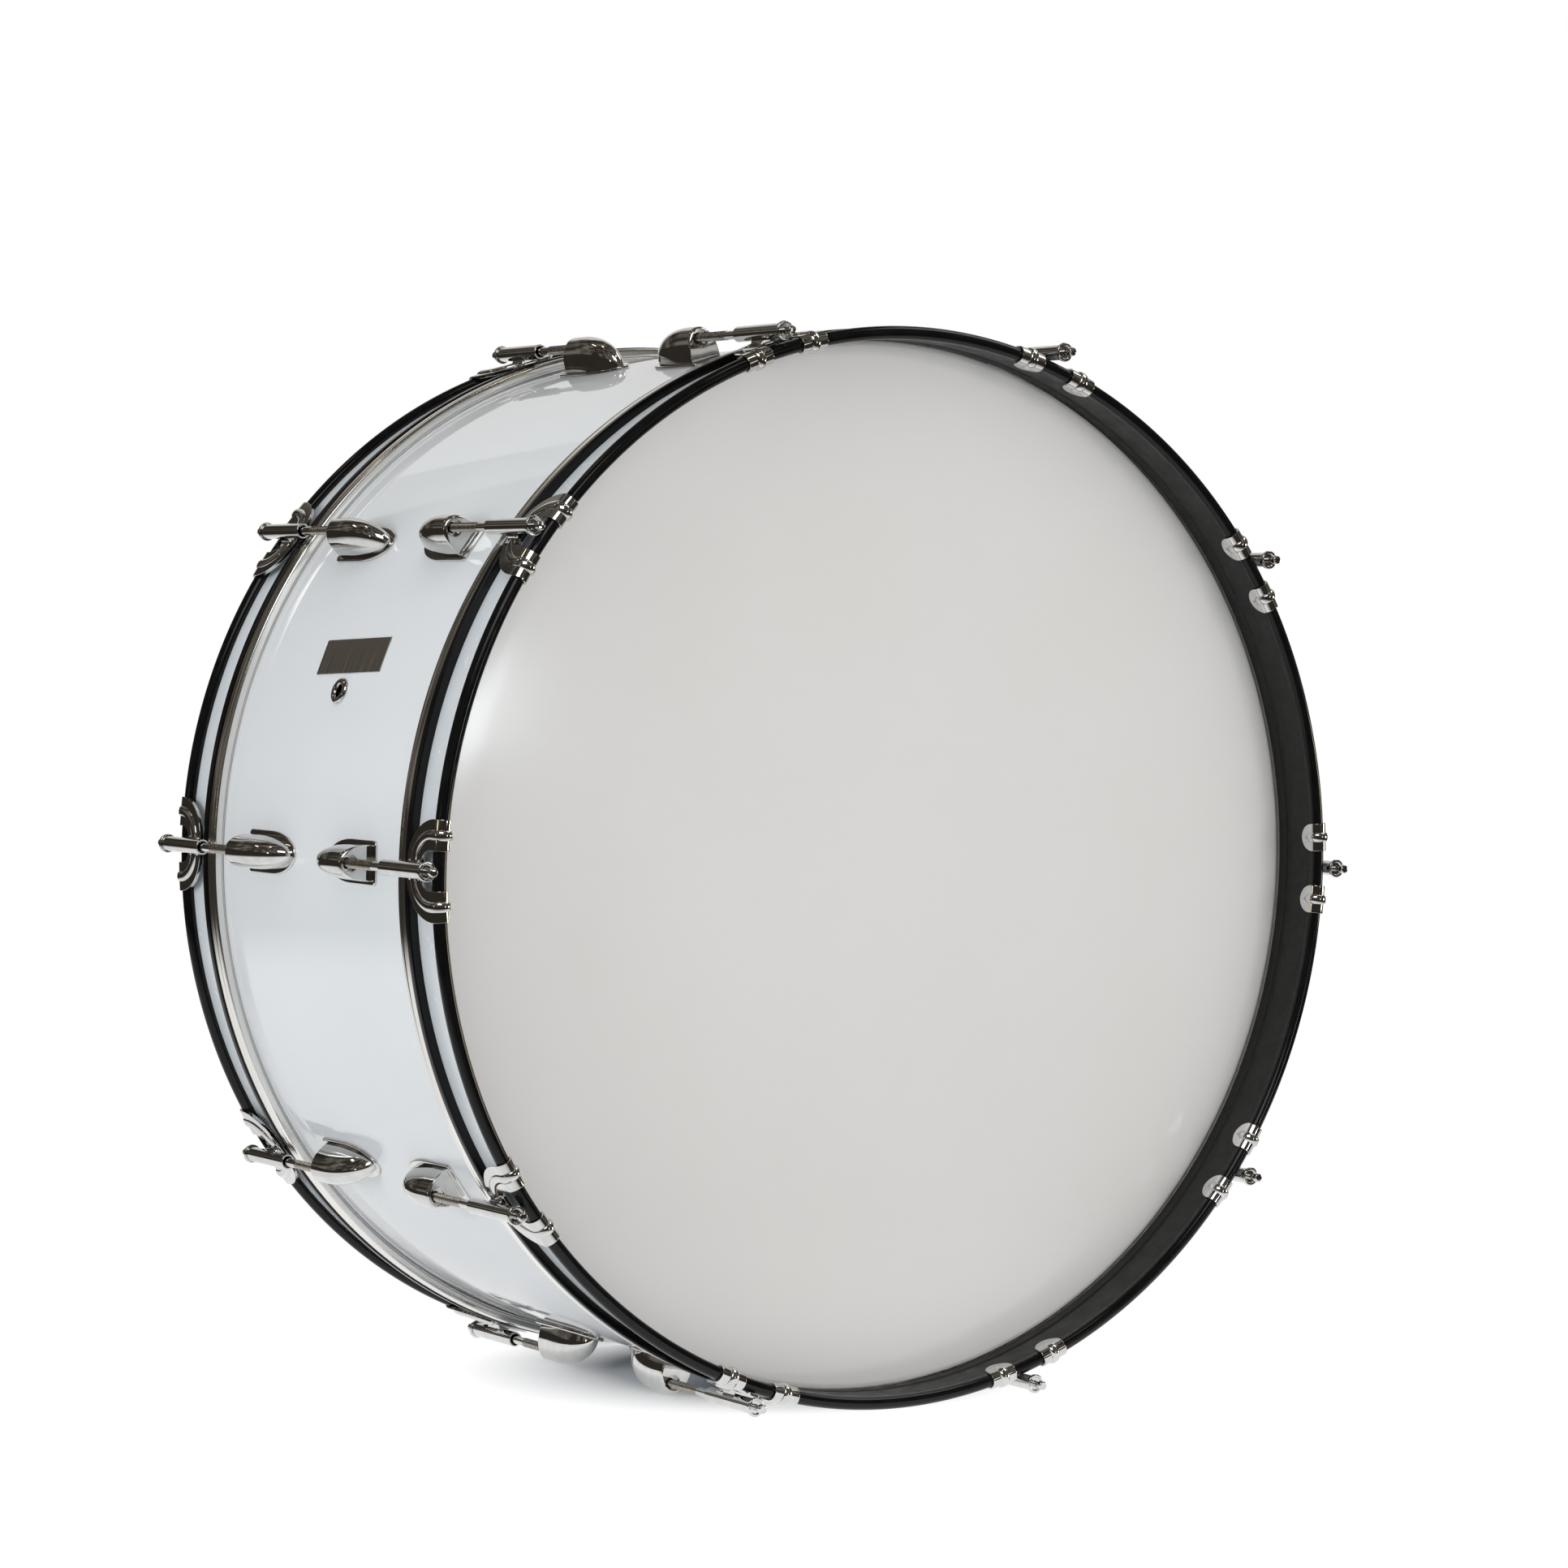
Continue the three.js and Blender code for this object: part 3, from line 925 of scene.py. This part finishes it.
def claw_saddle(body):
    """Web that carries the tube on the arm."""
    arm_top = bead_centre_radius + bead_radius + hook_clearance + hook_thickness
    start = bead_centre - arm_reach + saddle_inset
    end = bead_centre - window_reach - saddle_inset
    half = saddle_half_width
    levels = [(arm_top - hook_thickness / 2, half + saddle_cove_width)]
    for i in range(1, saddle_cove_steps + 1):
        angle = TURN / 4 * i / saddle_cove_steps
        levels.append((arm_top + saddle_cove_height * (1 - math.cos(angle)),
                       half + saddle_cove_width * (1 - math.sin(angle))))
    levels.append((rod_circle - rod_radius / 4, half))
    rings = []
    for r, side in levels:
        outline = filleted([
            (start, -side, saddle_rear_round), (end, -side, saddle_front_round),
            (end, side, saddle_front_round), (start, side, saddle_rear_round)])
        rings.append([(r, y, z) for y, z in outline])
    body.skin(rings, capped=True)


def claw_mesh():
    body = Body()
    claw_band(body)
    claw_tube(body)
    claw_saddle(body)
    return body.mesh("claw_body", [chrome])


# Lugs
def lug_section(y, share=1):
    """Arch-shaped cross-section: a round crown that runs over into upright sides."""
    low = shell_radius + foot_thickness * lug_sink_share
    height = (shell_radius + lug_height - low) * share
    side = lug_half_width * share
    ring = []
    for i in range(arch_steps + 1):
        angle = math.pi * (i / arch_steps - 1 / 2)
        up = math.cos(angle) ** (2 / lug_arch_power)
        across = abs(math.sin(angle)) ** (2 / lug_arch_power)
        ring.append((low + height * up, y, math.copysign(side * across, angle)))
    ring += [(low, y, side * (1 - 2 * i / under_steps)) for i in range(1, under_steps)]
    return ring


def face_round(r):
    """The crown of the face is rounded, and the rounding fades to an edge down the sides."""
    centre = shell_radius + lug_height - lug_crown_radius
    upward = max((r - centre) / lug_crown_radius, 0)
    return lug_side_round + (lug_face_round - lug_side_round) * upward ** lug_round_power


def rounded_face_ring(angle):
    """One ring of the rounding between the flat face and the body."""
    full = lug_section(lug_face)
    ring = []
    for i, (r, _, z) in enumerate(full):
        before = full[i - 1]
        after = full[(i + 1) % len(full)]
        along = Vector((after[0] - before[0], after[2] - before[2])).normalized()
        size = face_round(r)
        shrink = size * (1 - math.sin(angle))
        ring.append((r - along.y * shrink, lug_face - size * (1 - math.cos(angle)), z + along.x * shrink))
    return ring


def bore_ring(section, radius, y):
    """A circle round the rod whose points lie towards the points of a section."""
    ring = []
    for r, _, z in section:
        away = Vector((r - rod_circle, z)).normalized()
        ring.append((rod_circle + radius * away.x, y, radius * away.y))
    return ring


def lug_mesh():
    face = rounded_face_ring(0)
    bore = rod_radius + rod_play
    floor = lug_face - lug_mouth_depth
    bevel = lug_mouth_bevel
    middle = bevel * bevel_middle_share
    rings = [bore_ring(face, bore * bore_end_share, lug_face - lug_bore_depth),
             bore_ring(face, bore, lug_face - lug_bore_depth),
             bore_ring(face, bore, floor),
             bore_ring(face, lug_mouth_radius, floor),
             bore_ring(face, lug_mouth_radius, lug_face - bevel),
             bore_ring(face, lug_mouth_radius + middle, lug_face - middle),
             bore_ring(face, lug_mouth_radius + bevel, lug_face)]
    rings += [rounded_face_ring(TURN / 4 * i / face_steps) for i in range(face_steps + 1)]
    for i in range(nose_steps + 1):
        along = math.sin(lug_last_angle * i / nose_steps)
        past = max(along - lug_parallel_share, 0) / (1 - lug_parallel_share)
        share = (1 - past ** lug_nose_power) ** (1 / lug_nose_power)
        rings.append(lug_section(lug_face - lug_face_round - (lug_length - lug_face_round) * along, share))
    body = Body()
    body.skin(rings, capped=True)
    foot_skin(body)
    return body.mesh("lug_body", [chrome])


def foot_skin(body):
    """Thin foot with a round nose and a lip under the rod, bent to the shell."""
    half = lug_half_width + foot_overhang
    end = lug_face + foot_lip
    turn = end - foot_straight
    reach = turn - (lug_face - lug_length - foot_nose_gap)
    corner = foot_corner
    angles = [math.pi * i / foot_nose_steps for i in range(foot_nose_steps + 1)]
    outline = [(turn - reach * math.sin(a), half * math.cos(a)) for a in angles]
    outline += arc(end - corner, corner - half, corner, -TURN / 4, 0, foot_corner_steps)
    outline += arc(end - corner, half - corner, corner, 0, TURN / 4, foot_corner_steps)
    levels = [(foot_gap, 0)]
    for i in range(foot_edge_steps + 1):
        angle = TURN / 4 * i / foot_edge_steps
        rise = foot_thickness - foot_round * (1 - math.sin(angle))
        levels.append((rise, foot_round * (1 - math.cos(angle))))
    levels.append((foot_thickness, foot_edge_land))
    rings = []
    for rise, in_by in levels:
        rings.append([wrapped(shell_radius + rise, y, z) for y, z in inset(outline, in_by)])
    body.skin(rings, capped=True)


def numbered(stem, index):
    return f"{stem}_{index + 1:02d}"


def add_fittings():
    claw = claw_mesh()
    rod = rod_mesh()
    lug = lug_mesh()
    for end in ("front", "rear"):
        for i in range(station_count):
            spot = place(end, i)
            rod_node = numbered(f"{end}_rod", i)
            claw_node = numbered(f"{end}_claw", i)
            lug_node = numbered("front_lug", i) if end == "front" else "shell_with_rear_lugs"
            add_piece(numbered(f"{end}_lug_casting", i), lug, spot, "drum",
                      [lug_node], weighted=True)
            add_piece(f"{claw_node}_casting", claw, spot, f"{end}_rim",
                      [claw_node], weighted=True)
            add_piece(f"{rod_node}_screw", rod, spot, f"{rod_node}_body",
                      [rod_node], weighted=True)


# Floor, studio and camera
def seen_directly(tree):
    """1 for rays that look at a thing straight, in a reflection or through glass."""
    path = tree.nodes.new("ShaderNodeLightPath")
    value = path.outputs["Is Camera Ray"]
    for name in ("Is Glossy Ray", "Is Transmission Ray"):
        node = tree.nodes.new("ShaderNodeMath")
        node.operation = "MAXIMUM"
        link(tree, value, node.inputs[0])
        link(tree, path.outputs[name], node.inputs[1])
        value = node.outputs["Value"]
    return value


def add_world():
    world = bpy.data.worlds.new("studio")
    bpy.context.scene.world = world
    world.use_nodes = True
    tree = world.node_tree
    tree.nodes.clear()
    out = tree.nodes.new("ShaderNodeOutputWorld")
    mix = tree.nodes.new("ShaderNodeMixShader")
    room = tree.nodes.new("ShaderNodeBackground")
    room.inputs["Color"].default_value = (0.95, 0.98, 1, 1)
    room.inputs["Strength"].default_value = 0.5
    white = tree.nodes.new("ShaderNodeBackground")
    white.inputs["Color"].default_value = (1, 1, 1, 1)
    white.inputs["Strength"].default_value = 1
    link(tree, seen_directly(tree), mix.inputs["Fac"])
    link(tree, room.outputs[0], mix.inputs[1])
    link(tree, white.outputs[0], mix.inputs[2])
    link(tree, mix.outputs[0], out.inputs["Surface"])


def vector_step(tree, operation, source, value=(0, 0, 0)):
    """One step of arithmetic on a vector."""
    node = tree.nodes.new("ShaderNodeVectorMath")
    node.operation = operation
    node.inputs[1].default_value = value
    link(tree, source, node.inputs[0])
    return node


def floor_material():
    """Pale floor that keeps the shadow near the drum and fades to white away from it."""
    material = bpy.data.materials.new("pale_floor")
    material.use_nodes = True
    tree = material.node_tree
    tree.nodes.clear()
    out = tree.nodes.new("ShaderNodeOutputMaterial")
    plain = tree.nodes.new("ShaderNodeBsdfDiffuse")
    plain.inputs["Color"].default_value = (0.86, 0.87, 0.88, 1)
    lit = tree.nodes.new("ShaderNodeBsdfDiffuse")
    lit.inputs["Color"].default_value = (0.96, 0.96, 0.96, 1)
    # A faint bluish glow painted into the floor near the drum, which lifts its shadow and tints it blue
    glow = tree.nodes.new("ShaderNodeEmission")
    glow.inputs["Color"].default_value = (0.62, 0.78, 1, 1)
    glow.inputs["Strength"].default_value = painted_shadow_glow
    near = tree.nodes.new("ShaderNodeAddShader")
    far = tree.nodes.new("ShaderNodeEmission")
    far.inputs["Color"].default_value = (1, 1, 1, 1)
    far.inputs["Strength"].default_value = 1
    fade = tree.nodes.new("ShaderNodeMixShader")
    view = tree.nodes.new("ShaderNodeMixShader")
    geometry = tree.nodes.new("ShaderNodeNewGeometry")
    scaled = vector_step(tree, "MULTIPLY", geometry.outputs["Position"],
                         (1 / shadow_reach[0], 1 / shadow_reach[1], 0))
    distance = vector_step(tree, "LENGTH", scaled.outputs["Vector"])
    spread(tree, distance.outputs["Value"], fade.inputs["Fac"], 0, 1, *shadow_fade)
    link(tree, lit.outputs[0], near.inputs[0])
    link(tree, glow.outputs[0], near.inputs[1])
    link(tree, near.outputs[0], fade.inputs[1])
    link(tree, far.outputs[0], fade.inputs[2])
    link(tree, seen_directly(tree), view.inputs["Fac"])
    link(tree, plain.outputs[0], view.inputs[1])
    link(tree, fade.outputs[0], view.inputs[2])
    link(tree, view.outputs[0], out.inputs["Surface"])
    return material


def flat_sheet(name, width, height, material):
    """A level rectangle round the origin."""
    mesh = bpy.data.meshes.new(name)
    x = width / 2
    y = height / 2
    mesh.from_pydata([(-x, -y, 0), (x, -y, 0), (x, y, 0), (-x, y, 0)], [], [(0, 1, 2, 3)])
    mesh.materials.append(material)
    return new_object(name, mesh)


def add_floor():
    floor = flat_sheet("floor", 2 * floor_reach, 2 * floor_reach, floor_material())


def glowing(name):
    """A material that only glows."""
    material = bpy.data.materials.new(name)
    material.use_nodes = True
    tree = material.node_tree
    tree.nodes.clear()
    out = tree.nodes.new("ShaderNodeOutputMaterial")
    glow = tree.nodes.new("ShaderNodeEmission")
    link(tree, glow.outputs[0], out.inputs["Surface"])
    return material, tree, glow


def dome_material():
    """Dim warm room over the set."""
    material, tree, glow = glowing("dim_room")
    clutter = pattern(tree, 0.6, 4, shuffled=False)
    tint(tree, clutter, glow.inputs["Color"], room_shade, room_panel, *room_clutter)
    return material


def sheet_material():
    """White floor sheet that ends softly in the dim room."""
    material, tree, glow = glowing("sheet_end")
    geometry = tree.nodes.new("ShaderNodeNewGeometry")
    away = vector_step(tree, "SUBTRACT", geometry.outputs["Position"], sheet_centre)
    distance = vector_step(tree, "LENGTH", away.outputs["Vector"])
    scale = tree.nodes.new("ShaderNodeMath")
    scale.operation = "DIVIDE"
    scale.inputs[1].default_value = sheet_scale
    link(tree, distance.outputs["Value"], scale.inputs[0])
    tint(tree, scale.outputs["Value"], glow.inputs["Color"], sheet_shade, room_shade, *sheet_fade)
    return material


def glow_material(name, color, strength=1):
    material, tree, glow = glowing(name)
    glow.inputs["Color"].default_value = (*color, 1)
    glow.inputs["Strength"].default_value = strength
    return material


def only_in_reflections(item):
    item.visible_camera = False
    item.visible_diffuse = False
    item.visible_shadow = False
    item.visible_transmission = False


def room_ring(radius, height, start, end):
    """Points round the set at a height, between two directions, in the millimetres of a body."""
    angles = [start + (end - start) * j / room_columns for j in range(room_columns + 1)]
    return [(radius * math.cos(a) / MM, radius * math.sin(a) / MM, height / MM) for a in angles]


def add_room_part(name, rings, material):
    """A sheet through open rows of points."""
    body = Body()
    count = len(rings[0])
    for ring in rings:
        body.points += ring
    for i in range(len(rings) - 1):
        for j in range(count - 1):
            near = i * count + j
            body.faces.append((near, near + 1, near + count + 1, near + count))
            body.looks.append(0)
    only_in_reflections(new_object(name, body.mesh(name, [material])))


def add_room():
    """The dim room starts where the floor sheet ends, and over the backdrop behind the drum."""
    dim = dome_material()
    backdrop = glow_material("backdrop", backdrop_shade)
    edge = glow_material("backdrop_edge", backdrop_edge_shade)
    for name, side, low, high, material in (
            ("dim_room", room_side, room_start, TURN / 4, dim),
            ("dim_ceiling", (backdrop_side[0], room_side[0]), backdrop_top, TURN / 4, dim),
            ("backdrop", backdrop_side, room_start, backdrop_top, backdrop),
            ("backdrop_edge", backdrop_edge, room_start, backdrop_top, edge)):
        rises = [low + (high - low) * i / room_rows for i in range(room_rows + 1)]
        part = [room_ring(room_radius * math.cos(a), room_radius * math.sin(a), *side) for a in rises]
        add_room_part(name, part, material)
    wall = room_radius * math.cos(room_start)
    reaches = [sheet_reach, sheet_reach * 2, sheet_reach * 4, wall]
    sheet = [room_ring(reach, sheet_lift, *room_side) for reach in reaches]
    sheet.append(room_ring(wall, room_radius * math.sin(room_start), *room_side))
    add_room_part("sheet_end", sheet, sheet_material())


def aim(item, spot, target):
    """Puts a card or lamp in its place, turned to a target."""
    item.location = spot
    item.rotation_euler = (Vector(target) - Vector(spot)).to_track_quat("-Z", "Y").to_euler()


def add_card(name, spot, target, size, color, strength):
    """A flat card that shows only in reflections."""
    card = flat_sheet(name, *size, glow_material(name, color, strength))
    aim(card, spot, target)
    only_in_reflections(card)


def add_lamp(name, spot, target, size, color, power):
    lamp = bpy.data.lights.new(name, "AREA")
    lamp.shape = "RECTANGLE"
    lamp.size, lamp.size_y = size
    lamp.energy = power
    lamp.color = color
    item = new_object(name, lamp)
    aim(item, spot, target)
    item.visible_glossy = False


def add_small_lamp(index, side, rise, size, strength):
    across = math.radians(side)
    up = math.radians(rise)
    way = Vector((math.cos(up) * math.cos(across), math.cos(up) * math.sin(across), math.sin(up)))
    name = f"small_lamp_{index + 1}"
    add_card(name, way * small_lamp_distance, drum_middle, size, small_lamp_color, strength)


def add_studio():
    add_world()
    add_floor()
    add_room()
    for card in cards:
        add_card(*card)
    for index, lamp in enumerate(small_lamps):
        add_small_lamp(index, *lamp)
    for lamp in lamps:
        add_lamp(*lamp)


def add_camera():
    camera = bpy.data.cameras.new("camera")
    camera.sensor_width = camera_sensor
    camera.lens = camera_lens
    item = new_object("camera", camera)
    item.location = camera_place
    item.rotation_euler = camera_turn
    bpy.context.scene.camera = item


add_shell()
add_rings()
add_fittings()
add_studio()
add_camera()
bpy.context.scene.view_settings.view_transform = "Standard"
